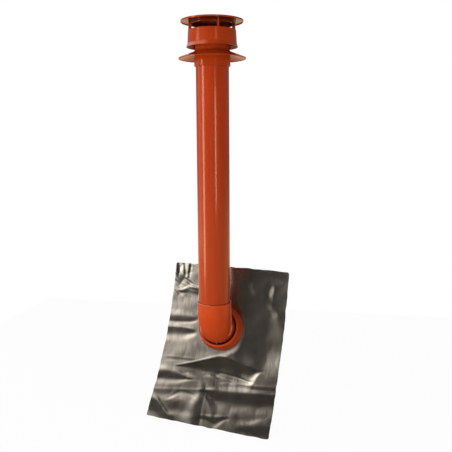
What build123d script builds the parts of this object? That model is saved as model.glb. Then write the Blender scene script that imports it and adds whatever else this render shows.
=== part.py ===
"""Static roof vent: a weather cowl on a pipe, an elbow into a flanged collar, and a lead flashing sheet.

Millimetres, +Z up along the pipe. The origin is where the axis of the elbow's lower leg crosses the roof
plane, which is the underside of the flat part of the flashing sheet. -Y looks down the slope.
"""
from build123d import *
from math import cos, exp, hypot, radians, sin, sqrt, tan
import os

# Pipe and glued fits
PIPE_OD = 110.0
PIPE_WALL = 3.2
PIPE_LENGTH = 880.0
GLUE_GAP = 0.15
SOCKET_WALL = 4.5
SOCKET_CHAMFER = 1.6

# Elbow
BEND_ANGLE = 67.5
BEND_RADIUS = 62.0
UPPER_STRAIGHT = 44.0
UPPER_DEPTH = 40.0
LOWER_STRAIGHT = 87.0
LOWER_DEPTH = 52.0
STOP_RIB = 3.0
ROOF_PROJECTION = 15.0

# Cowl base, heights from the lower end of its socket
COWL_DEPTH = 43.0
NECK_OD = 113.6
NECK_WALL = 3.2
NECK_TOP = 100.0
SKIRT_OD = 223.0
SKIRT_RIM = 25.0
SKIRT_LIP = 3.0
SKIRT_PITCH = 21.5
SKIRT_WALL = 3.0
SKIRT_FLARE = 12.0
SKIRT_ROOT = 4.0

# Posts that carry the band and the lid
POST_COUNT = 4
POST_TURN = 27.5
POST_WIDTH = 5.0
POST_GRIP = 3.65
POST_SHELF = 6.0
WEB_FOOT = 12.0

# Wind band
BAND_TOP_OD = 158.2
BAND_WAIST_OD = 162.4
BAND_LIP_OD = 170.4
BAND_BOTTOM = 62.5
BAND_HEIGHT = 53.5
BAND_LIP_HEIGHT = 11.0
BAND_LIP_CURVE = 9.0
BAND_WALL = 2.8

# Lid
LID_OD = 206.0
LID_EDGE = 5.0
LID_LIP = 2.5
LID_WALL = 3.0
LID_RISE = 8.0
LID_RIM = 142.0
BOSS_OD = 150.6
BOSS_WALL = 3.0
BOSS_BOTTOM = 134.5

# Collar
COLLAR_FOOT_OD = 165.6
COLLAR_FOOT = 7.0
COLLAR_MOUTH_OD = 146.0
COLLAR_HEIGHT = 49.0
COLLAR_RIM = 3.4
COLLAR_LIP = 4.4
COLLAR_LIP_WALL = 3.2
COLLAR_FLOOR = 5.0
COLLAR_EDGE = 1.5

# Flashing sheet, in the roof plane: across to +X and up the slope from the elbow's axis
SHEET_TOP_WIDTH = 435.0
SHEET_LOW_WIDTH = 455.0
SHEET_LENGTH = 584.0
SHEET_WALL = 1.8
SHEET_ACROSS = -2.1
SHEET_UP = -62.4
SHEET_SKEW = -5.2
TOP_SLANT = 2.4
LOW_SLANT = -0.7
SHEET_CORNER = 7.0
LEFT_BOW = 18.0
RIGHT_BOW = 6.0
HOLE_GAP = 0.6
BED_GAP = 0.2
FLAT_MARGIN = 14.0
FLAT_BLEND = 34.0
DENT_FADE = 8.0
SECTION_STEP = 14.0
POINT_STEP = 20.0

TURN = radians(BEND_ANGLE)
PIPE_R = PIPE_OD / 2
BORE_R = PIPE_R - PIPE_WALL
SOCKET_R = PIPE_R + GLUE_GAP
BODY_R = SOCKET_R + SOCKET_WALL
BEND_TANGENT = BEND_RADIUS * tan(TURN / 2)
CORNER_RISE = BEND_TANGENT + LOWER_STRAIGHT - ROOF_PROJECTION

# The roof plane, its outward normal, and the point where the two legs' axes meet
NORMAL = Vector(0, -sin(TURN), cos(TURN))
ROOF = Plane(origin=(0, 0, 0), x_dir=(1, 0, 0), z_dir=NORMAL)
CORNER = NORMAL * CORNER_RISE
PIPE_FOOT = CORNER.Z + BEND_TANGENT + UPPER_STRAIGHT - UPPER_DEPTH
COWL_FOOT = PIPE_FOOT + PIPE_LENGTH - COWL_DEPTH
COWL = Location((0, CORNER.Y, COWL_FOOT))


def profile(*corners):
    """Face in the XZ plane through (radius, height) corners."""
    points = [(radius, 0, height) for radius, height in corners]
    return make_face(Polyline(*points, close=True))


def vent_pipe():
    """Plain-ended straight pipe, glued into the elbow below and the cowl above."""
    tube = Cylinder(PIPE_R, PIPE_LENGTH, align=(Align.CENTER, Align.CENTER, Align.MIN))
    bore = Cylinder(BORE_R, PIPE_LENGTH, align=(Align.CENTER, Align.CENTER, Align.MIN))
    return Pos(0, CORNER.Y, PIPE_FOOT) * (tube - bore)


def bend_path():
    """Centre line of the elbow, from its lower mouth to its upper mouth."""
    lower_mouth = NORMAL * -ROOF_PROJECTION
    bend_start = CORNER - NORMAL * BEND_TANGENT
    bend_end = CORNER + Vector(0, 0, BEND_TANGENT)
    upper_mouth = bend_end + Vector(0, 0, UPPER_STRAIGHT)
    lower_leg = Line(lower_mouth, bend_start)
    bend = TangentArc(bend_start, bend_end, tangent=NORMAL)
    upper_leg = Line(bend_end, upper_mouth)
    return lower_leg + bend + upper_leg


def stop_rib(mouth, depth):
    """Ring inside the elbow that a pipe end butts against, at a depth from the given mouth plane."""
    ring = Circle(SOCKET_R + SOCKET_WALL / 2) - Circle(BORE_R)
    return extrude(mouth.offset(-depth) * ring, -STOP_RIB)


def elbow():
    """Double-socket bend of one outside diameter, with a stop rib behind each socket."""
    path = bend_path()
    lower = Plane(origin=NORMAL * -ROOF_PROJECTION, x_dir=(1, 0, 0), z_dir=-NORMAL)
    upper_mouth = CORNER + Vector(0, 0, BEND_TANGENT + UPPER_STRAIGHT)
    upper = Plane(origin=upper_mouth, x_dir=(1, 0, 0), z_dir=(0, 0, 1))
    body = sweep(lower * Circle(BODY_R), path)
    bore = sweep(lower * Circle(SOCKET_R), path)
    shell = body - bore
    ends = shell.edges().filter_by(GeomType.CIRCLE).filter_by(lambda edge: edge.radius > SOCKET_R + GLUE_GAP)
    mouths = [edge for edge in ends if min(distance_to(edge, lower), distance_to(edge, upper)) < GLUE_GAP]
    shell = chamfer(mouths, SOCKET_CHAMFER)
    return shell + stop_rib(lower, LOWER_DEPTH) + stop_rib(upper, UPPER_DEPTH)


def distance_to(edge, plane):
    """Distance of a round edge's centre from a mouth plane."""
    return abs(plane.to_local_coords(edge.arc_center).Z)


def cowl_shell():
    """Socket, rain skirt and neck in one turned form."""
    neck_r = NECK_OD / 2
    throat_r = neck_r - NECK_WALL
    rim_r = SKIRT_OD / 2
    fall = tan(radians(SKIRT_PITCH))
    shoulder = SKIRT_RIM + SKIRT_LIP
    apex = shoulder + (rim_r - neck_r) * fall
    drop = SKIRT_WALL / cos(radians(SKIRT_PITCH))
    lip_r = rim_r - SKIRT_WALL
    lip_inner = shoulder + SKIRT_WALL * fall - drop
    root = shoulder + (rim_r - BODY_R) * fall - drop
    face = profile(
        (SOCKET_R, 0), (SOCKET_R, COWL_DEPTH), (throat_r, COWL_DEPTH), (throat_r, NECK_TOP),
        (neck_r, NECK_TOP), (neck_r, apex), (rim_r, shoulder), (rim_r, SKIRT_RIM),
        (lip_r, SKIRT_RIM), (lip_r, lip_inner), (BODY_R, root), (BODY_R, 0),
    )
    face = fillet(corner_at(face, neck_r, apex), SKIRT_FLARE)
    face = fillet(corner_at(face, BODY_R, root), SKIRT_ROOT)
    face = chamfer(corner_at(face, BODY_R, 0), SOCKET_CHAMFER)
    return revolve(face, Axis.Z)


def corner_at(face, radius, height):
    """The corner of a profile face at a (radius, height) place."""
    return face.vertices().sort_by_distance((radius, 0, height))[0]


def post():
    """Web from the neck to the band that rises past the band's rim as a post around the lid's boss."""
    neck_r = NECK_OD / 2 + GLUE_GAP
    waist_r = BAND_WAIST_OD / 2 - BAND_WALL / 2
    rim_r = BAND_TOP_OD / 2 - BAND_WALL / 2
    boss_r = BOSS_OD / 2
    post_r = boss_r + GLUE_GAP + POST_GRIP
    shelf_r = min(boss_r, BAND_TOP_OD / 2 - BAND_WALL) - POST_SHELF
    foot = BAND_BOTTOM + WEB_FOOT
    rim = BAND_BOTTOM + BAND_HEIGHT
    top = LID_RIM + LID_EDGE
    face = profile(
        (neck_r, foot), (waist_r, foot), (rim_r, rim), (post_r, rim), (post_r, top),
        (shelf_r, top), (shelf_r, rim), (neck_r, NECK_TOP),
    )
    web = extrude(face, POST_WIDTH / 2, both=True)
    return web - band_form() - lid_room()


def cowl_base():
    """The cowl's socket, skirt and neck in their place on the pipe."""
    return COWL * cowl_shell()


def cowl_posts():
    """Ring of posts, each trimmed to seat against the band and the lid."""
    step = 360 / POST_COUNT
    return {f"post_{i + 1}": COWL * Rot(0, 0, POST_TURN - 90 + i * step) * post() for i in range(POST_COUNT)}


def band_form():
    """Slightly conical band with a flared lower lip."""
    waist = BAND_BOTTOM + BAND_LIP_HEIGHT
    top = BAND_BOTTOM + BAND_HEIGHT
    outer = [(BAND_LIP_OD / 2, BAND_BOTTOM), (BAND_WAIST_OD / 2, waist), (BAND_TOP_OD / 2, top)]
    inner = [(radius - BAND_WALL, height) for radius, height in outer]
    face = profile(*outer, *reversed(inner))
    face = fillet(corner_at(face, *outer[1]), BAND_LIP_CURVE)
    face = fillet(corner_at(face, *inner[1]), BAND_LIP_CURVE)
    return revolve(face, Axis.Z)


def wind_band():
    """The band in its place on the cowl base."""
    return COWL * band_form()


def crown(radius, wall=0.0):
    """Height of the lid's round crown at a radius, lowered by a wall."""
    lid_r = LID_OD / 2
    sphere_r = (lid_r ** 2 + LID_RISE ** 2) / (2 * LID_RISE)
    return LID_RIM + LID_EDGE + LID_RISE - wall - sphere_r + sqrt(sphere_r ** 2 - radius ** 2)


def lid_form():
    """Crowned lid with a drip lip at its rim and a ring boss underneath."""
    lid_r = LID_OD / 2
    lip_r = lid_r - LID_LIP
    boss_r = BOSS_OD / 2
    core_r = boss_r - BOSS_WALL
    top = crown_arc(0, lid_r)
    brim = crown_arc(lip_r, boss_r, LID_WALL)
    core = crown_arc(core_r, 0, LID_WALL)
    rim = Polyline(top @ 1, spot(lid_r, LID_RIM), spot(lip_r, LID_RIM), brim @ 0)
    boss = Polyline(brim @ 1, spot(boss_r, BOSS_BOTTOM), spot(core_r, BOSS_BOTTOM), core @ 0)
    axis = Line(core @ 1, top @ 0)
    return revolve(make_face([top, rim, brim, boss, core, axis]), Axis.Z)


def spot(radius, height):
    """Point of a turned profile."""
    return Vector(radius, 0, height)


def crown_arc(start, end, wall=0.0):
    """Arc in the XZ plane along the lid's crown between two radii, lowered by a wall."""
    stations = (start, (start + end) / 2, end)
    return ThreePointArc(*[spot(radius, crown(radius, wall)) for radius in stations])


def lid_room():
    """The lid with the glue gap around its boss, as cut from the posts."""
    lid = lid_form()
    boss_r = BOSS_OD / 2 + GLUE_GAP
    sleeve = Pos(0, 0, BOSS_BOTTOM) * Cylinder(
        boss_r, LID_RIM - BOSS_BOTTOM + LID_EDGE, align=(Align.CENTER, Align.CENTER, Align.MIN)
    )
    return lid + sleeve


def cap_lid():
    """The lid in its place on the posts."""
    return COWL * lid_form()


def collar():
    """Flanged ring with a conical upstand, its mouth turned in to a rounded lip around the elbow."""
    sleeve_r = BODY_R + GLUE_GAP
    foot_r = COLLAR_FOOT_OD / 2
    mouth_r = COLLAR_MOUTH_OD / 2
    inner_r = mouth_r - COLLAR_RIM
    lip_r = inner_r - COLLAR_LIP
    lip_under = COLLAR_HEIGHT - COLLAR_LIP_WALL
    face = profile(
        (sleeve_r, 0), (foot_r, 0), (foot_r, COLLAR_FOOT), (mouth_r, COLLAR_HEIGHT),
        (lip_r, COLLAR_HEIGHT), (lip_r, lip_under), (inner_r, lip_under),
        (inner_r, COLLAR_FLOOR), (sleeve_r, COLLAR_FLOOR),
    )
    face = fillet(corner_at(face, foot_r, COLLAR_FOOT), COLLAR_EDGE)
    face = fillet(corner_at(face, mouth_r, COLLAR_HEIGHT), COLLAR_EDGE)
    face = fillet(corner_at(face, lip_r, COLLAR_HEIGHT), COLLAR_EDGE)
    ring = revolve(face, Axis.Z)
    return ROOF * Pos(0, 0, SHEET_WALL + BED_GAP) * ring


class Dent:
    """A leaning band of the sheet along stations of (along, beside, half width), faded out past its ends.

    The band runs across the sheet, or up it if upright. Its lean is the slope in the middle, positive where
    the sheet rises up the slope or, if upright, to the right. Crisp narrows its upper or right side.
    """

    def __init__(self, lean, *stations, upright=False, crisp=1.0):
        self.lean = lean
        self.stations = stations
        self.upright = upright
        self.crisp = crisp

    def middle(self, along):
        """Place and half width of the band, in straight runs from station to station."""
        for first, second in zip(self.stations, self.stations[1:]):
            if along <= second[0]:
                share = max((along - first[0]) / (second[0] - first[0]), 0)
                return [low + (high - low) * share for low, high in zip(first[1:], second[1:])]
        return self.stations[-1][1:]

    def height(self, across, up):
        along, beside = (up, across) if self.upright else (across, up)
        place, half_width = self.middle(along)
        off = beside - place
        reach = half_width * self.crisp if off > 0 else half_width
        past = max(self.stations[0][0] - along, along - self.stations[-1][0], 0) / (DENT_FADE + half_width)
        return self.lean * off * exp(-abs(off / reach) ** 3 / 3 - past ** 2)


SHEET_DENTS = [
    # two bands beside the collar on the left
    Dent(0.15, (-259, 21, 13), (-97, 23, 12), crisp=1.5),
    Dent(0.15, (-259, -13, 23), (-107, -15, 20), crisp=0.6),
    # hood under the collar
    Dent(0.14, (-141, -150, 14), (22, -105, 56), (138, -133, 14), crisp=0.45),
    # wedge on the left, long band on the right
    Dent(0.14, (-259, -187, 18), (-157, -186, 20), (-76, -206, 13)),
    Dent(0.12, (-46, -227, 14), (60, -239, 40), (232, -235, 39), crisp=0.4),
    # lower end: crease up the middle, turned corner, swellings
    Dent(-0.10, (-372, -62, 24), (-226, -44, 16), upright=True, crisp=0.6),
    Dent(0.11, (-271, -263, 36), (-223, -276, 40), (-173, -324, 24), crisp=0.5),
    Dent(0.08, (-153, -285, 20), (-87, -292, 20)),
    Dent(0.09, (-42, -318, 16), (39, -314, 16)),
    Dent(0.09, (106, -347, 16), (227, -354, 20)),
    # crumpled upper left
    Dent(0.14, (-160, 130, 14), (-97, 132, 18)),
    Dent(0.12, (-208, 203, 13), (-107, 154, 13)),
    # right of the collar and the upper right
    Dent(-0.08, (22, 92, 40), (245, 88, 60), upright=True),
    Dent(0.09, (115, 177, 15), (160, 181, 15), upright=True),
    Dent(0.06, (-89, 202, 50), (63, 187, 45), upright=True),
    Dent(0.12, (35, 200, 17), (242, 200, 19)),
]


def sheet_height(across, up):
    """Height of the dressed sheet over the roof plane, flat under the collar's foot."""
    raised = sum(dent.height(across, up) for dent in SHEET_DENTS)
    clear = (hypot(across, up) - COLLAR_FOOT_OD / 2 - FLAT_MARGIN) / FLAT_BLEND
    ease = min(max(clear, 0), 1)
    return raised * ease * ease * (3 - 2 * ease)


def sheet_outline():
    """The cut sheet laid flat: slightly tapered and askew, with bowed long edges and rounded corners."""
    top = Vector(0, SHEET_LENGTH / 2)
    low = Vector(0, -SHEET_LENGTH / 2)
    half_top = Vector(SHEET_TOP_WIDTH / 2, 0).rotate(Axis.Z, TOP_SLANT)
    half_low = Vector(SHEET_LOW_WIDTH / 2, 0).rotate(Axis.Z, LOW_SLANT)
    top_left = top - half_top
    top_right = top + half_top
    low_right = low + half_low
    low_left = low - half_low
    edges = [
        Line(top_left, top_right),
        ThreePointArc(top_right, (top_right + low_right) / 2 + Vector(RIGHT_BOW, 0), low_right),
        Line(low_right, low_left),
        ThreePointArc(low_left, (low_left + top_left) / 2 + Vector(LEFT_BOW, 0), top_left),
    ]
    face = make_face(edges)
    face = fillet(face.vertices(), SHEET_CORNER)
    return Pos(SHEET_ACROSS, SHEET_UP) * Rot(0, 0, SHEET_SKEW) * face


def stations(low, high, step):
    """Even stations from one step below low to one step above high."""
    count = round((high - low) / step) + 2
    return [low - step + (high - low + 2 * step) * i / count for i in range(count + 1)]


def section(columns, up):
    """Curve across the dressed sheet at one station up the slope."""
    return Edge.make_spline([Vector(across, up, sheet_height(across, up)) for across in columns])


def flashing_sheet():
    """Lead sheet dressed into dents and creases, with a round hole for the elbow."""
    outline = sheet_outline()
    box = outline.bounding_box()
    columns = stations(box.min.X, box.max.X, POINT_STEP)
    rows = stations(box.min.Y, box.max.Y, SECTION_STEP)
    sections = [Wire([section(columns, up)]) for up in rows]
    skin = Shell.make_loft(sections).face()
    slab = extrude(skin, SHEET_WALL, dir=(0, 0, 1))
    reach = SHEET_LENGTH / 2
    blank = Pos(0, 0, -reach) * extrude(outline, 2 * reach)
    hole = Cylinder(BODY_R + HOLE_GAP, 2 * reach)
    return ROOF * ((slab & blank) - hole)


def main():
    makers = (cap_lid, wind_band, cowl_base, vent_pipe, elbow, collar, flashing_sheet)
    pieces = {maker.__name__: maker() for maker in makers}
    pieces.update(cowl_posts())
    os.makedirs("parts", exist_ok=True)
    for name, piece in pieces.items():
        export_step(piece, f"parts/{name}.step")


main()
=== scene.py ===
import bpy
import math
from mathutils import Matrix, Vector, noise


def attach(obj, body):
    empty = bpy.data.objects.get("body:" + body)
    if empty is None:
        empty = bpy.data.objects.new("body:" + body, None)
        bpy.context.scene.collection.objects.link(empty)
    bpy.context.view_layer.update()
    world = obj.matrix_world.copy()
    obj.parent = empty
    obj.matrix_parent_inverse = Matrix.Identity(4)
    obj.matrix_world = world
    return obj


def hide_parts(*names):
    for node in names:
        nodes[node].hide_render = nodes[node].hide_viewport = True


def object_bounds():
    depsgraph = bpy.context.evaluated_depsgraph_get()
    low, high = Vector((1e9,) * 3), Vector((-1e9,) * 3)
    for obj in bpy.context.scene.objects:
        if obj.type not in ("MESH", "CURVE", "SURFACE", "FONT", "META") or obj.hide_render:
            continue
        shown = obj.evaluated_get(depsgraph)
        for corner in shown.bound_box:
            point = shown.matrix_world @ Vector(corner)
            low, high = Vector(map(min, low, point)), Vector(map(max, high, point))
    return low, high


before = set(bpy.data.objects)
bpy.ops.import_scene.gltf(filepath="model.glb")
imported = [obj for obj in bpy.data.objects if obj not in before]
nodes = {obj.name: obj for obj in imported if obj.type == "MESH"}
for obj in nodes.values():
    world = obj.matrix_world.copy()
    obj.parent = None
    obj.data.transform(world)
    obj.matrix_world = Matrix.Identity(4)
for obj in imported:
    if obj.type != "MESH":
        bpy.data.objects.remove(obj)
cad_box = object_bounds()

# Roof plane: across is +X, up runs up the slope, out is the plane's normal
BEND = math.radians(67.5)
OUT = Vector((0, -math.sin(BEND), math.cos(BEND)))
UP = Vector((0, math.cos(BEND), math.sin(BEND)))
ACROSS = Vector((1, 0, 0))
MM = 0.001

# Camera, where the photograph was taken from
CAMERA_PLACE = Vector((0.4533, -2.0921, 0.6883))
CAMERA_TURN = math.radians(11.67)
CAMERA_DIP = math.radians(8.21)
CAMERA_ROLL = math.radians(-0.34)
CAMERA_LENS = 47.79
CAMERA_SENSOR = 36

# Lamps: aim height, azimuth, elevation, distance, width and height in degrees, glow, seen in reflections
PIPE_AXIS_Y = -0.105
LAMP_COLOUR = (1.0, 0.955, 0.89)
LAMPS = {
    "window_left": (0.64, -57, 0, 2.4, 15, 44, 6.5, True),
    "panel_left": (0.63, -90, 0, 2.4, 34, 36, 0.7, True),
    "strip_right": (0.63, 31, 0, 2.4, 8, 20, 8.0, True),
    "strip_right_top": (1.55, 31, 0, 2.4, 8, 9, 3.0, True),
    "low_front": (0.9, -12, -14, 2.4, 40, 20, 2.7, False),
    "high_front": (0, -37, 38, 9, 34, 34, 1.2, False),
    "overhead": (0, -5, 66, 9, 80, 24, 0.8, False),
}

# Soft fill, stronger from below, over a direction's share along Z
WHITE = (1, 1, 1, 1)
FILL_RISE = (-0.3, 0.6)
FILL_LOW = 0.95
FILL_HIGH = 0.06

# Mirrored room: dim in front and lighter behind, a sky that is bright on the left, a warm glow below
ROOM_DEPTH = (-0.35, 0.45)
ROOM_GLOW = 0.04
BACK_GLOW = 0.22
SKY_RISE = (0.15, 0.75)
SKY_SIDE = (-0.10, -0.43)
SKY_DIM = 0.03
SKY_GLOW = 3.9
UNDER_DROP = (-0.04, -0.2)
UNDER_GLOW = 1.0
UNDER_COLOUR = (1.0, 0.57, 0.28, 1)

# Floor: its own colour, the colour that reflections see, and how white it is to the camera
FLOOR_DROP = 0.004
FLOOR_SIZE = 3.0
FLOOR_PAINT = (0.88, 0.87, 0.85, 1)
FLOOR_MIRRORED = (0.40, 0.38, 0.35, 1)
FLOOR_WHITE = 0.97

# Colour sockets of the Mix node, which share their names with others
MIX_SHARE = 0
MIX_FIRST = 6
MIX_SECOND = 7
MIX_RESULT = 2

# Painted shade in the plastic's crevices, from ambient occlusion: how far it reaches, how open a place is
# where it is darkest and how fast it clears
CREVICE_SHADE_REACH = 0.014
CREVICE_SHADE_CLOSED = 0.15
CREVICE_SHADE_SPAN = 0.65
CREVICE_SHADE_DARKEST = 0.06
CREVICE_SHADE_SAMPLES = 8
# Stronger painted shade for the lid: it reaches further and darkens the lid's underside in the hollow
LID_SHADE_REACH = 0.045
LID_SHADE_CLOSED = 0.42

# Plastics: the drawn pipe, the moulded cowl, its lid with stronger painted shade over the dark hollow, and
# the brighter fittings
GLEAM_TINT = (1.0, 0.84, 0.58, 1)
DRAWN = (6, 6, 0.5)
MOULDED = (1, 1, 1)
COWL_DARK = (0.33, 0.033, 0.004, 1)
COWL_LIGHT = (0.375, 0.039, 0.006, 1)
PLASTICS = {
    "drawn_plastic": {
        "dark": (0.355, 0.032, 0.005, 1), "light": (0.40, 0.038, 0.007, 1),
        "stretch": DRAWN, "peel": 0.06, "shine": 0.45,
    },
    "cowl_plastic": {
        "dark": COWL_DARK, "light": COWL_LIGHT,
        "stretch": MOULDED, "peel": 0.08, "shine": 0.3,
    },
    # the cowl's own colours, with stronger painted shade darkening the lid's underside
    "lid_plastic": {
        "dark": COWL_DARK, "light": COWL_LIGHT,
        "stretch": MOULDED, "peel": 0.08, "shine": 0.3,
        "reach": LID_SHADE_REACH, "closed": LID_SHADE_CLOSED,
    },
    "fitting_plastic": {
        "dark": (0.48, 0.047, 0.005, 1), "light": (0.53, 0.055, 0.007, 1),
        "stretch": MOULDED, "peel": 0.08, "shine": 0.45,
    },
}
FINISHES = {
    "vent_pipe": "drawn_plastic",
    "elbow": "fitting_plastic",
    "collar": "fitting_plastic",
    "cap_lid": "lid_plastic",
}

# Lead
LEAD_DARK = (0.33, 0.292, 0.243, 1)
LEAD_LIGHT = (0.42, 0.375, 0.315, 1)
EVEN = (1, 1, 1)
ROLLED = (1.8, 0.6, 0.35)

# Flashing sheet, as cut, in millimetres in the roof plane
SHEET_TOP_WIDTH = 435.0
SHEET_LOW_WIDTH = 455.0
SHEET_LENGTH = 584.0
SHEET_WALL = 1.8
SHEET_ACROSS = -2.1
SHEET_UP = -62.4
SHEET_SKEW = math.radians(-5.2)
TOP_SLANT = math.radians(2.4)
LOW_SLANT = math.radians(-0.7)
SHEET_CORNER = 7.0
LEFT_BOW = 18.0
RIGHT_BOW = 6.0
HOLE_RADIUS = 60.25
HOLE_SIDES = 96
PUNCH_DEPTH = 0.08
COLLAR_FOOT = 82.8
FLAT_MARGIN = 4.0
FLAT_BLEND = 22.0
GRID_ACROSS = 190
GRID_UP = 250
SMOOTH_ANGLE = math.radians(50)

# Uneven edges: height, wave length and how closely the wobble keeps to the edge
EDGE_WOBBLE = 2.2
EDGE_WAVE = 26
EDGE_KEEN = 15

# Crumples: heights of the slow and quick unevenness, and of the quick one in the upper left corner
CRUMPLE_SLOW = 0.9
CRUMPLE_QUICK = 0.5
CRUMPLE_CORNER = 3.0
CORNER_ACROSS = -165
CORNER_UP = 215
CORNER_REACH = 60

# Dents: how far one runs out past its ends, how far its turns are rounded, and its smallest reach
END_FADE = 8.0
ROUNDING = 7.0
NARROWEST = 3.5


class Dent:
    """A band of the sheet that leans over, along stations of (along, beside, half width) in millimetres.

    The band runs across the sheet, or up it if upright. Its lean is the slope in the middle, positive
    where the sheet rises up the slope or, if upright, to the right. The sheet swells on one side of the
    band and sinks on the other. Crisp scales the reach of the band's upper or right side.
    """

    def __init__(self, lean, *stations, upright=False, crisp=1.0):
        self.lean = lean
        self.stations = stations
        self.upright = upright
        self.crisp = crisp

    def straight(self, along):
        """Place and half width of the band, in straight runs from station to station."""
        for first, second in zip(self.stations, self.stations[1:]):
            if along <= second[0]:
                share = max((along - first[0]) / (second[0] - first[0]), 0)
                return [low + (high - low) * share for low, high in zip(first[1:], second[1:])]
        return self.stations[-1][1:]

    def middle(self, along):
        """Place and half width of the band, with its turns at the stations rounded off."""
        samples = [self.straight(along + step) for step in (-ROUNDING, 0, ROUNDING)]
        return [sum(values) / len(samples) for values in zip(*samples)]

    def height(self, across, up):
        along, beside = (up, across) if self.upright else (across, up)
        place, half = self.middle(along)
        off = beside - place
        reach = max(half * self.crisp, NARROWEST) if off > 0 else half
        past = max(self.stations[0][0] - along, along - self.stations[-1][0], 0) / (END_FADE + half)
        return self.lean * off * math.exp(-abs(off / reach) ** 3 / 3 - past ** 2)


SHEET_FORMS = [
    # beside the collar on the left
    Dent(0.15, (-259, 21, 9), (-150, 22, 9), (-112, 23, 7), (-88, 25, 4), crisp=2.0),
    Dent(0.15, (-259, -13, 22), (-150, -13, 22), (-118, -14, 16), (-92, -16, 9), crisp=0.35),
    Dent(0.06, (-186, -118, 7), (-102, -121, 6), crisp=0.6),
    # hood under the collar, and the bright finger at its foot
    Dent(0.16, (-144, -146, 4), (-70, -127, 31), (-17, -114, 47), (11, -108, 57), (54, -118, 55),
         (90, -128, 47), (122, -137, 33), (148, -145, 6), crisp=0.13),
    Dent(-0.20, (8, -170, 7), (70, -183, 9), (116, -192, 5)),
    # wedge on the left, light crumples beside it and the long crease
    Dent(0.14, (-259, -182, 15), (-198, -182, 17), (-150, -184, 14), (-118, -188, 6), (-105, -190, 4)),
    Dent(-0.10, (-112, -172, 5), (-80, -176, 7), (-48, -180, 5)),
    Dent(-0.10, (-44, -163, 4), (-20, -170, 7), (6, -184, 5)),
    Dent(0.06, (-240, -240, 14), (-150, -236, 14), (-60, -231, 12), crisp=0.4),
    Dent(0.09, (25, -204, 5), (119, -206, 6), (227, -205, 7)),
    Dent(0.13, (-46, -226, 6), (-10, -231, 32), (60, -233, 35), (143, -235, 35), (232, -235, 34),
         crisp=0.28),
    # lower end
    Dent(-0.07, (-373, -64, 26), (-302, -58, 26), (-226, -44, 14), upright=True, crisp=0.3),
    Dent(0.05, (-312, -22, 10), (-290, -18, 16), (-262, -26, 8), upright=True),
    Dent(0.11, (-271, -270, 42), (-223, -285, 46), (-173, -330, 22), crisp=0.4),
    Dent(0.05, (-153, -285, 16), (-120, -285, 22), (-87, -292, 16)),
    Dent(-0.05, (-176, -268, 5), (-135, -243, 7), (-95, -248, 6), (-65, -264, 5)),
    Dent(0.10, (-42, -318, 8), (-1, -326, 18), (39, -314, 6), crisp=0.5),
    Dent(0.06, (91, -302, 14), (121, -305, 18), (156, -302, 8)),
    Dent(0.09, (106, -347, 12), (169, -352, 22), (227, -354, 20)),
    # upper left, crumpled
    Dent(-0.15, (196, -184, 5), (237, -188, 5), upright=True),
    Dent(0.12, (205, -171, 4), (236, -174, 4), upright=True),
    Dent(-0.15, (200, -157, 5), (237, -162, 5), upright=True),
    Dent(-0.12, (190, -140, 5), (230, -138, 5), upright=True),
    Dent(0.14, (-131, 229, 6), (-99, 219, 6)),
    Dent(0.12, (-208, 203, 5), (-157, 182, 7), (-107, 154, 5)),
    Dent(0.10, (-205, 180, 4), (-150, 150, 6), (-110, 140, 5)),
    Dent(0.16, (-160, 130, 6), (-133, 136, 16), (-97, 132, 18), crisp=0.6),
    Dent(0.12, (-208, 162, 5), (-168, 124, 7)),
    Dent(-0.14, (82, -209, 6), (165, -203, 6), upright=True),
    # right of the collar and the upper right
    Dent(-0.08, (-70, 75, 40), (245, 75, 40), upright=True, crisp=4.25),
    Dent(0.11, (130, 178, 9), (142, 180, 13), (152, 182, 9), upright=True),
    Dent(0.09, (62, 196, 14), (72, 186, 18), (80, 172, 12), upright=True),
    Dent(0.07, (196, 78, 18), (236, 70, 24), upright=True),
    Dent(0.08, (140, 112, 12), (156, 98, 16), upright=True),
    Dent(0.06, (-120, 200, 34), (-10, 196, 34), (20, 196, 26), upright=True),
    Dent(0.10, (60, 212, 12), (136, 206, 16), (242, 196, 14)),
    Dent(-0.12, (34, 170, 4), (90, 160, 4), (149, 150, 4)),
]


def waver(across, up, wave_across, wave_up, seed):
    """Smooth noise over the sheet, with its wave lengths in millimetres."""
    return noise.noise(Vector((across / wave_across, up / wave_up, seed)))


def crumple(across, up):
    """Small unevenness of soft lead, in millimetres, stronger in the upper left corner."""
    slow = waver(across, up, wave_across=80, wave_up=42, seed=3.7)
    quick = abs(waver(across, up, wave_across=44, wave_up=52, seed=8.1))
    aside = (across - CORNER_ACROSS) / CORNER_REACH
    below = (up - CORNER_UP) / CORNER_REACH
    corner = math.exp(-aside ** 2 - below ** 2)
    return slow * CRUMPLE_SLOW + quick * (CRUMPLE_QUICK + CRUMPLE_CORNER * corner)


def sheet_height(across, up):
    """Height of the dressed sheet over the roof plane in millimetres, flat under the collar's foot."""
    raised = sum(form.height(across, up) for form in SHEET_FORMS) + crumple(across, up)
    clear = (math.hypot(across, up) - COLLAR_FOOT - FLAT_MARGIN) / FLAT_BLEND
    ease = min(max(clear, 0), 1)
    return raised * ease * ease * (3 - 2 * ease)


def cut_place(side, end):
    """Place on the flat cut sheet, with side and end running from -1 to 1, before it is turned askew."""
    share = (end + 1) / 2
    half = SHEET_LOW_WIDTH / 2 * (1 - share) + SHEET_TOP_WIDTH / 2 * share
    slant = LOW_SLANT * (1 - share) + TOP_SLANT * share
    bow = 1 - end ** 2
    shift = (LEFT_BOW * (1 - side) + RIGHT_BOW * (1 + side)) / 2 * bow
    across = half * side * math.cos(slant) + shift
    along = end * SHEET_LENGTH / 2 + half * side * math.sin(slant)
    rim = EDGE_WOBBLE * waver(across, along, EDGE_WAVE, EDGE_WAVE, seed=1.3)
    return across + rim * side ** EDGE_KEEN, along + rim * end ** EDGE_KEEN


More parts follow.
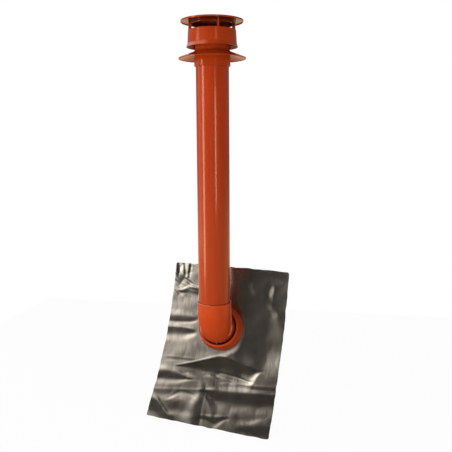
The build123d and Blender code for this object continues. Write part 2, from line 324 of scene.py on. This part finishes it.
def round_corners(side, end):
    """Pull the grid's corner points in to a quarter circle, in the grid's own -1 to 1 places."""
    reach_side = 2 * SHEET_CORNER / SHEET_TOP_WIDTH
    reach_end = 2 * SHEET_CORNER / SHEET_LENGTH
    over_side = (abs(side) - 1) / reach_side + 1
    over_end = (abs(end) - 1) / reach_end + 1
    far = math.hypot(over_side, over_end)
    if over_side > 0 and over_end > 0 and far > 1:
        pull = max(over_side, over_end) / far
        side = math.copysign(1 - reach_side + over_side * pull * reach_side, side)
        end = math.copysign(1 - reach_end + over_end * pull * reach_end, end)
    return side, end


def roof_place(across, up, out):
    """Point in the vent's frame from millimetres in the roof plane."""
    return (ACROSS * across + UP * up + OUT * out) * MM


def deselect():
    if bpy.context.object and bpy.context.object.mode != "OBJECT":
        bpy.ops.object.mode_set(mode="OBJECT")
    bpy.ops.object.select_all(action="DESELECT")


def select_only(piece):
    deselect()
    bpy.context.view_layer.objects.active = piece
    piece.select_set(True)


def apply_modifier(piece, modifier):
    select_only(piece)
    bpy.ops.object.modifier_apply(modifier=modifier.name)


def punch_hole(sheet):
    """Cut the round hole for the elbow, square to the roof plane."""
    deselect()
    bpy.ops.mesh.primitive_cylinder_add(
        vertices=HOLE_SIDES, radius=HOLE_RADIUS * MM, depth=PUNCH_DEPTH, rotation=(BEND, 0, 0))
    punch = bpy.context.object
    hole = sheet.modifiers.new("hole", "BOOLEAN")
    hole.operation = "DIFFERENCE"
    hole.object = punch
    apply_modifier(sheet, hole)
    bpy.data.objects.remove(punch)


def make_sheet():
    """Lead sheet: a fine grid dressed into folds and creases, thickened and holed for the elbow."""
    deselect()
    bpy.ops.mesh.primitive_grid_add(x_subdivisions=GRID_ACROSS, y_subdivisions=GRID_UP, size=2)
    sheet = bpy.context.object
    sheet.name = "lead_sheet"
    turn = Matrix.Rotation(SHEET_SKEW, 2)
    for point in sheet.data.vertices:
        place = cut_place(*round_corners(point.co.x, point.co.y))
        flat = turn @ Vector(place) + Vector((SHEET_ACROSS, SHEET_UP))
        point.co = roof_place(flat.x, flat.y, sheet_height(flat.x, flat.y))
    wall = sheet.modifiers.new("wall", "SOLIDIFY")
    wall.thickness = SHEET_WALL * MM
    wall.offset = 1
    apply_modifier(sheet, wall)
    punch_hole(sheet)
    select_only(sheet)
    bpy.ops.object.shade_smooth_by_angle(angle=SMOOTH_ANGLE)
    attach(sheet, "root")
    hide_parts("flashing_sheet")
    return sheet


def new_material(name):
    material = bpy.data.materials.new(name)
    material.use_nodes = True
    tree = material.node_tree
    return material, tree, tree.nodes["Principled BSDF"]


def add_noise(tree, coordinates, scale, detail, stretch):
    mapping = tree.nodes.new("ShaderNodeMapping")
    mapping.inputs["Scale"].default_value = stretch
    texture = tree.nodes.new("ShaderNodeTexNoise")
    texture.inputs["Scale"].default_value = scale
    texture.inputs["Detail"].default_value = detail
    tree.links.new(coordinates.outputs["Object"], mapping.inputs["Vector"])
    tree.links.new(mapping.outputs["Vector"], texture.inputs["Vector"])
    return texture


def add_ramp(tree, source, low, high, dark, light):
    ramp = tree.nodes.new("ShaderNodeValToRGB")
    ramp.color_ramp.elements[0].position = low
    ramp.color_ramp.elements[0].color = dark
    ramp.color_ramp.elements[1].position = high
    ramp.color_ramp.elements[1].color = light
    tree.links.new(source.outputs["Fac"], ramp.inputs["Fac"])
    return ramp


def add_roughness(tree, source, shader, low, high):
    spread = tree.nodes.new("ShaderNodeMapRange")
    spread.inputs["To Min"].default_value = low
    spread.inputs["To Max"].default_value = high
    tree.links.new(source.outputs["Fac"], spread.inputs["Value"])
    tree.links.new(spread.outputs["Result"], shader.inputs["Roughness"])


def add_bump(tree, source, shader, strength, distance):
    bump = tree.nodes.new("ShaderNodeBump")
    bump.inputs["Strength"].default_value = strength
    bump.inputs["Distance"].default_value = distance
    tree.links.new(source.outputs["Fac"], bump.inputs["Height"])
    tree.links.new(bump.outputs["Normal"], shader.inputs["Normal"])


def paint_crevice_shade(tree, colour, reach, closed):
    """Colour with painted shade: ambient occlusion darkens it where the surface is hemmed in by the pieces
    around it.
    """
    occlusion = tree.nodes.new("ShaderNodeAmbientOcclusion")
    occlusion.samples = CREVICE_SHADE_SAMPLES
    occlusion.inputs["Distance"].default_value = reach
    unshaded_share = tree.nodes.new("ShaderNodeMapRange")
    unshaded_share.inputs["From Min"].default_value = closed
    unshaded_share.inputs["From Max"].default_value = closed + CREVICE_SHADE_SPAN
    unshaded_share.inputs["To Min"].default_value = CREVICE_SHADE_DARKEST
    tree.links.new(occlusion.outputs["AO"], unshaded_share.inputs["Value"])
    shaded = tree.nodes.new("ShaderNodeVectorMath")
    shaded.operation = "SCALE"
    tree.links.new(colour.outputs["Color"], shaded.inputs["Vector"])
    tree.links.new(unshaded_share.outputs["Result"], shaded.inputs["Scale"])
    return shaded.outputs["Vector"]


def plastic(name, dark, light, stretch, peel, shine, reach=CREVICE_SHADE_REACH, closed=CREVICE_SHADE_CLOSED):
    """Orange-brown vent plastic: slow colour drift, painted shade in its crevices, drawn or moulded texture
    and a semi-gloss skin.
    """
    material, tree, shader = new_material(name)
    coordinates = tree.nodes.new("ShaderNodeTexCoord")
    drift = add_noise(tree, coordinates, scale=9.0, detail=4.0, stretch=stretch)
    colour = add_ramp(tree, drift, low=0.3, high=0.7, dark=dark, light=light)
    # painted shade: the base colour is darkened by ambient occlusion in crevices, slots and hollows
    tree.links.new(paint_crevice_shade(tree, colour, reach, closed), shader.inputs["Base Color"])
    haze = add_noise(tree, coordinates, scale=40.0, detail=3.0, stretch=stretch)
    add_roughness(tree, haze, shader, low=0.12, high=0.19)
    skin = add_noise(tree, coordinates, scale=160.0, detail=2.0, stretch=stretch)
    add_bump(tree, skin, shader, strength=peel, distance=0.0004)
    shader.inputs["Specular IOR Level"].default_value = shine
    shader.inputs["Specular Tint"].default_value = GLEAM_TINT
    return material


def lead():
    """Dull grey lead: mottled oxide, soft sheen and fine rolled texture."""
    material, tree, shader = new_material("dressed_lead")
    coordinates = tree.nodes.new("ShaderNodeTexCoord")
    mottle = add_noise(tree, coordinates, scale=14.0, detail=6.0, stretch=EVEN)
    colour = add_ramp(tree, mottle, low=0.3, high=0.72, dark=LEAD_DARK, light=LEAD_LIGHT)
    tree.links.new(colour.outputs["Color"], shader.inputs["Base Color"])
    oxide = add_noise(tree, coordinates, scale=26.0, detail=5.0, stretch=EVEN)
    add_roughness(tree, oxide, shader, low=0.17, high=0.26)
    rolled = add_noise(tree, coordinates, scale=70.0, detail=4.0, stretch=ROLLED)
    add_bump(tree, rolled, shader, strength=0.08, distance=0.002)
    shader.inputs["Metallic"].default_value = 1.0
    return material


def dress(piece, material):
    piece.data.materials.clear()
    piece.data.materials.append(material)


def add_softbox(name, aim_height, azimuth, elevation, distance, width, height, glow, mirrored):
    """Lamp seen from the vent at an azimuth from the front and an elevation, sized in degrees."""
    turn = math.radians(azimuth)
    lift = math.radians(elevation)
    way = Vector((math.sin(turn) * math.cos(lift), -math.cos(turn) * math.cos(lift), math.sin(lift)))
    light = bpy.data.lights.new(name, "AREA")
    light.shape = "RECTANGLE"
    light.size = 2 * distance * math.tan(math.radians(width / 2))
    light.size_y = 2 * distance * math.tan(math.radians(height / 2))
    light.energy = glow * math.pi * light.size * light.size_y
    light.color = LAMP_COLOUR
    lamp = bpy.data.objects.new(name, light)
    lamp.location = Vector((0, PIPE_AXIS_Y, aim_height)) + way * distance
    lamp.rotation_euler = (-way).to_track_quat("-Z", "Y").to_euler()
    lamp.visible_glossy = mirrored
    bpy.context.scene.collection.objects.link(lamp)


def add_slope(tree, share, span, start, end):
    """Value that eases from start to end as a direction's share along an axis goes through the span."""
    slope = tree.nodes.new("ShaderNodeMapRange")
    slope.interpolation_type = "SMOOTHSTEP"
    slope.inputs["From Min"].default_value = span[0]
    slope.inputs["From Max"].default_value = span[1]
    slope.inputs["To Min"].default_value = start
    slope.inputs["To Max"].default_value = end
    tree.links.new(share, slope.inputs["Value"])
    return slope.outputs["Result"]


def add_glow(tree, colour, strength):
    """Background of one colour, with a strength that varies by direction."""
    glow = tree.nodes.new("ShaderNodeBackground")
    glow.inputs["Color"].default_value = colour
    tree.links.new(strength, glow.inputs["Strength"])
    return glow.outputs[0]


def add_mix(tree, share, first, second):
    mix = tree.nodes.new("ShaderNodeMixShader")
    for place, source in enumerate((share, first, second)):
        tree.links.new(source, mix.inputs[place])
    return mix.outputs[0]


def add_mirrored_room(tree, aside, along, aloft):
    """What reflections see: the room with its sky, and the warm glow from below."""
    sky = tree.nodes.new("ShaderNodeMath")
    sky.operation = "MULTIPLY_ADD"
    tree.links.new(add_slope(tree, aloft, SKY_RISE, 0, 1), sky.inputs[0])
    tree.links.new(add_slope(tree, aside, SKY_SIDE, SKY_DIM, SKY_GLOW), sky.inputs[1])
    tree.links.new(add_slope(tree, along, ROOM_DEPTH, ROOM_GLOW, BACK_GLOW), sky.inputs[2])
    mirrored = tree.nodes.new("ShaderNodeAddShader")
    tree.links.new(add_glow(tree, WHITE, sky.outputs[0]), mirrored.inputs[0])
    under = add_slope(tree, aloft, UNDER_DROP, 0, UNDER_GLOW)
    tree.links.new(add_glow(tree, UNDER_COLOUR, under), mirrored.inputs[1])
    return mirrored.outputs[0]


def make_world():
    """White for the camera, a graded room for reflections, and soft fill that is stronger from below."""
    world = bpy.data.worlds.new("studio")
    bpy.context.scene.world = world
    world.use_nodes = True
    tree = world.node_tree
    tree.nodes.clear()
    path = tree.nodes.new("ShaderNodeLightPath")
    direction = tree.nodes.new("ShaderNodeTexCoord")
    split = tree.nodes.new("ShaderNodeSeparateXYZ")
    tree.links.new(direction.outputs["Generated"], split.inputs["Vector"])
    aside, along, aloft = split.outputs
    mirrored = add_mirrored_room(tree, aside, along, aloft)
    fill = add_glow(tree, WHITE, add_slope(tree, aloft, FILL_RISE, FILL_LOW, FILL_HIGH))
    white = tree.nodes.new("ShaderNodeBackground")
    white.inputs["Color"].default_value = WHITE
    through = tree.nodes.new("ShaderNodeMath")
    through.operation = "MAXIMUM"
    tree.links.new(path.outputs["Is Camera Ray"], through.inputs[0])
    tree.links.new(path.outputs["Is Transmission Ray"], through.inputs[1])
    unseen = add_mix(tree, path.outputs["Is Glossy Ray"], fill, mirrored)
    seen = add_mix(tree, through.outputs[0], unseen, white.outputs[0])
    output = tree.nodes.new("ShaderNodeOutputWorld")
    tree.links.new(seen, output.inputs["Surface"])


def make_floor():
    """Plain pale floor just under the sheet's lower edge, nearly white to the camera."""
    deselect()
    level = cad_box[0][2] - FLOOR_DROP
    bpy.ops.mesh.primitive_plane_add(size=FLOOR_SIZE, location=(0, 0, level))
    floor = bpy.context.object
    floor.name = "floor"
    material, tree, shader = new_material("pale_floor")
    shader.inputs["Roughness"].default_value = 0.9
    shader.inputs["Specular IOR Level"].default_value = 0.1
    path = tree.nodes.new("ShaderNodeLightPath")
    paint = tree.nodes.new("ShaderNodeMix")
    paint.data_type = "RGBA"
    paint.inputs[MIX_FIRST].default_value = FLOOR_PAINT
    paint.inputs[MIX_SECOND].default_value = FLOOR_MIRRORED
    tree.links.new(path.outputs["Is Glossy Ray"], paint.inputs[MIX_SHARE])
    tree.links.new(paint.outputs[MIX_RESULT], shader.inputs["Base Color"])
    share = tree.nodes.new("ShaderNodeMath")
    share.operation = "MULTIPLY"
    share.inputs[1].default_value = FLOOR_WHITE
    tree.links.new(path.outputs["Is Camera Ray"], share.inputs[0])
    glow = tree.nodes.new("ShaderNodeEmission")
    glow.inputs["Strength"].default_value = 1.0
    mix = add_mix(tree, share.outputs[0], shader.outputs[0], glow.outputs[0])
    tree.links.new(mix, tree.nodes["Material Output"].inputs["Surface"])
    dress(floor, material)


def make_camera():
    camera = bpy.data.objects.new("camera", bpy.data.cameras.new("camera"))
    camera.data.lens = CAMERA_LENS
    camera.data.sensor_width = CAMERA_SENSOR
    turn = Matrix.Rotation(CAMERA_TURN, 4, "Z")
    dip = Matrix.Rotation(math.pi / 2 - CAMERA_DIP, 4, "X")
    roll = Matrix.Rotation(CAMERA_ROLL, 4, "Z")
    camera.matrix_world = Matrix.Translation(CAMERA_PLACE) @ turn @ dip @ roll
    bpy.context.scene.collection.objects.link(camera)
    bpy.context.scene.camera = camera


def main():
    sheet = make_sheet()
    dress(sheet, lead())
    plastics = {name: plastic(name, **look) for name, look in PLASTICS.items()}
    for name, piece in nodes.items():
        if name != "flashing_sheet":
            dress(piece, plastics[FINISHES.get(name, "cowl_plastic")])
    make_world()
    make_floor()
    for name, lamp in LAMPS.items():
        add_softbox(name, *lamp)
    make_camera()
    bpy.context.scene.view_settings.view_transform = "Standard"


main()
